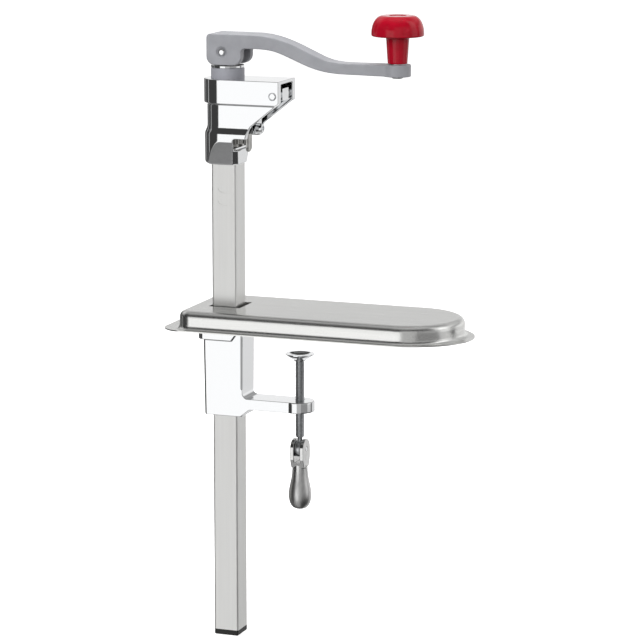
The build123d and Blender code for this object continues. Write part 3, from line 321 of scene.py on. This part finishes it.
def threaded_screw():
    """Clamp screw: right-hand thread, plain tip and neck, and the flat eye for the lever's pin."""
    steps = 40
    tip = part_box("clamp_screw")[1].z / MM
    pin_low, pin_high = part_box("lever_pin")
    centre = pin_low.lerp(pin_high, 0.5) / MM
    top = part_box("clamp_pad")[0].z / MM - 0.1
    bottom = centre.z + 12.0
    tail = [plain_ring(2.3, centre.z + 6.0, steps), plain_ring(2.4, bottom - 1.0, steps),
            plain_ring(3.2, bottom, steps)]
    head = [plain_ring(3.0, top, steps), plain_ring(3.0, tip - 0.4, steps), plain_ring(2.6, tip, steps)]
    build = bmesh.new()
    rings = [[build.verts.new(Vector((x + centre.x, y + centre.y, z)) * MM) for x, y, z in ring]
             for ring in tail + thread_rings(bottom, top, steps) + head]
    skin(build, rings)
    build.faces.new(rings[0])
    build.faces.new(rings[-1])
    add_eye(build, centre)
    bmesh.ops.recalc_face_normals(build, faces=build.faces)
    mesh = bpy.data.meshes.new("clamp_screw_threaded")
    build.to_mesh(mesh)
    build.free()
    mesh.shade_smooth()
    mesh.set_sharp_from_angle(angle=math.radians(50.0))
    piece("clamp_screw_threaded", mesh, "clamp_screw", "screw", zinc)


threaded_screw()


# ------------------------------------------------------------------ camera, floor and light
def set_camera():
    """A long lens from the front right, a little above the object."""
    turn, away, aside, height, tilt = math.radians(20.5), 2.9, 0.0892, 0.5603, 10.87
    data = bpy.data.cameras.new("view")
    data.lens = 3005 / 640 * 36
    data.sensor_width = 36
    data.clip_start = 0.05
    data.clip_end = 60
    camera = bpy.data.objects.new("view", data)
    bpy.context.scene.collection.objects.link(camera)
    camera.location = (away * math.sin(turn) + aside * math.cos(turn),
                       -away * math.cos(turn) + aside * math.sin(turn), height)
    camera.rotation_euler = (math.radians(90 - tilt), 0, turn)
    bpy.context.scene.camera = camera


def light_floor():
    """A white floor that glows evenly, so that it stays plain under the object."""
    size = 30
    mesh = bpy.data.meshes.new("floor")
    mesh.from_pydata([(-size, -size, 0), (size, -size, 0), (size, size, 0), (-size, size, 0)], [],
                     [(0, 1, 2, 3)])
    floor = bpy.data.objects.new("floor", mesh)
    bpy.context.scene.collection.objects.link(floor)
    floor.location.z = frame_box[0].z - 0.2 * MM
    made = bpy.data.materials.new("white_studio_floor")
    made.use_nodes = True
    shader = made.node_tree.nodes["Principled BSDF"]
    shader.inputs["Base Color"].default_value = linear("#F4F4F4")
    shader.inputs["Roughness"].default_value = 0.9
    shader.inputs["Emission Color"].default_value = (1, 1, 1, 1)
    shader.inputs["Emission Strength"].default_value = 0.75
    paint(floor, made)
    floor.visible_glossy = False
    floor.visible_diffuse = False


def window(tree, value, low, high, soft):
    """1 between low and high, and 0 outside, with soft ends."""
    rising, falling = [add(tree, "ShaderNodeMapRange",
                           {"Value": value, "From Min": edge - soft, "From Max": edge + soft}, "Result",
                           interpolation_type="SMOOTHSTEP") for edge in (low, high)]
    return add(tree, "ShaderNodeMath", {0: rising, 1: falling}, operation="SUBTRACT")


# brightness of the studio by direction, in degrees: azimuth from the front (-Y) towards +X
CARDS = [
    # azimuth low, high, elevation low, high, softness, brightness
    (-33, 3, -30, 14, 3, 1.1),          # large soft box, front left
    (3, 34, -30, 30, 5, 0.45),          # open room behind the camera
    (34, 84, -16, 30, 8, 0.3),          # open room to the right of the camera
    (84, 116, -14, 60, 6, 0.85),        # soft box to the right
    (-89, -83, -60, 60, 1.5, 0.35),     # thin strip lights at the left
    (-117, -110, -60, 60, 1.5, 0.30),
    (128, 186, -60, -16, 6, 0.55),      # backdrop near the floor
    (128, 186, -16, 0, 6, 0.75),        # backdrop, lower right
    (128, 186, 0, 18, 6, 0.9),          # backdrop, right
    (-186, -140, -60, 18, 6, 0.9),      # backdrop, left
    (90, 270, 24, 50, 10, 0.6),         # upper part of the room, behind
    (-270, -90, 24, 50, 10, 0.6),
    (-60, 24, -95, -34, 6, 0.36),       # pale table under the front
]
ROOM = 0.05                             # brightness where there is no card
OVERHEAD = 0.45                         # brightness of the ceiling


def studio():
    """Soft boxes and dark cards all round, white where the camera looks past the object."""
    world = bpy.data.worlds.new("studio")
    bpy.context.scene.world = world
    world.use_nodes = True
    tree = world.node_tree
    tree.nodes.clear()
    place = add(tree, "ShaderNodeTexCoord", give="Generated")
    x, y, z = [add(tree, "ShaderNodeSeparateXYZ", {"Vector": place}, axis) for axis in "XYZ"]
    front = add(tree, "ShaderNodeMath", {0: y, 1: -1.0}, operation="MULTIPLY")
    round_z = add(tree, "ShaderNodeMath", {0: x, 1: front}, operation="ARCTAN2")
    azimuth = add(tree, "ShaderNodeMath", {0: round_z, 1: math.degrees(1)}, operation="MULTIPLY")
    upwards = add(tree, "ShaderNodeMath", {0: z}, operation="ARCSINE")
    elevation = add(tree, "ShaderNodeMath", {0: upwards, 1: math.degrees(1)}, operation="MULTIPLY")
    ceiling = add(tree, "ShaderNodeMapRange", {"Value": elevation, "From Min": 45, "From Max": 75},
                  "Result", interpolation_type="SMOOTHSTEP")
    total = add(tree, "ShaderNodeMath", {0: ceiling, 1: OVERHEAD, 2: ROOM}, operation="MULTIPLY_ADD")
    for left, right, low, high, soft, brightness in CARDS:
        card = add(tree, "ShaderNodeMath", {0: window(tree, azimuth, left, right, soft),
                                            1: window(tree, elevation, low, high, soft)},
                   operation="MULTIPLY")
        total = add(tree, "ShaderNodeMath", {0: card, 1: brightness, 2: total},
                    operation="MULTIPLY_ADD")
    cards = add(tree, "ShaderNodeBackground", {"Color": total, "Strength": 1.0})
    white = add(tree, "ShaderNodeBackground", {"Color": (1, 1, 1, 1), "Strength": 1.0})
    seen = add(tree, "ShaderNodeLightPath", give="Is Camera Ray")
    chosen = add(tree, "ShaderNodeMixShader", {"Fac": seen, 1: cards, 2: white})
    add(tree, "ShaderNodeOutputWorld", {"Surface": chosen})


def soft_light(name, location, watts):
    """A square area light that faces the object and doesn't show in reflections."""
    data = bpy.data.lights.new(name, "AREA")
    data.shape = "SQUARE"
    data.size = 1.5
    data.energy = watts
    lamp = bpy.data.objects.new(name, data)
    bpy.context.scene.collection.objects.link(lamp)
    lamp.location = location
    target = Vector((0.05, 0, 0.05))
    lamp.rotation_euler = (target - lamp.location).to_track_quat("-Z", "Y").to_euler()
    lamp.visible_glossy = False


set_camera()
light_floor()
studio()
soft_light("key", (-1.6, -2.2, 1.4), 54)
soft_light("fill", (2.2, -1.4, 0.9), 22)
soft_light("top", (0.1, 0.3, 2.4), 40)
bpy.context.scene.view_settings.view_transform = "Standard"
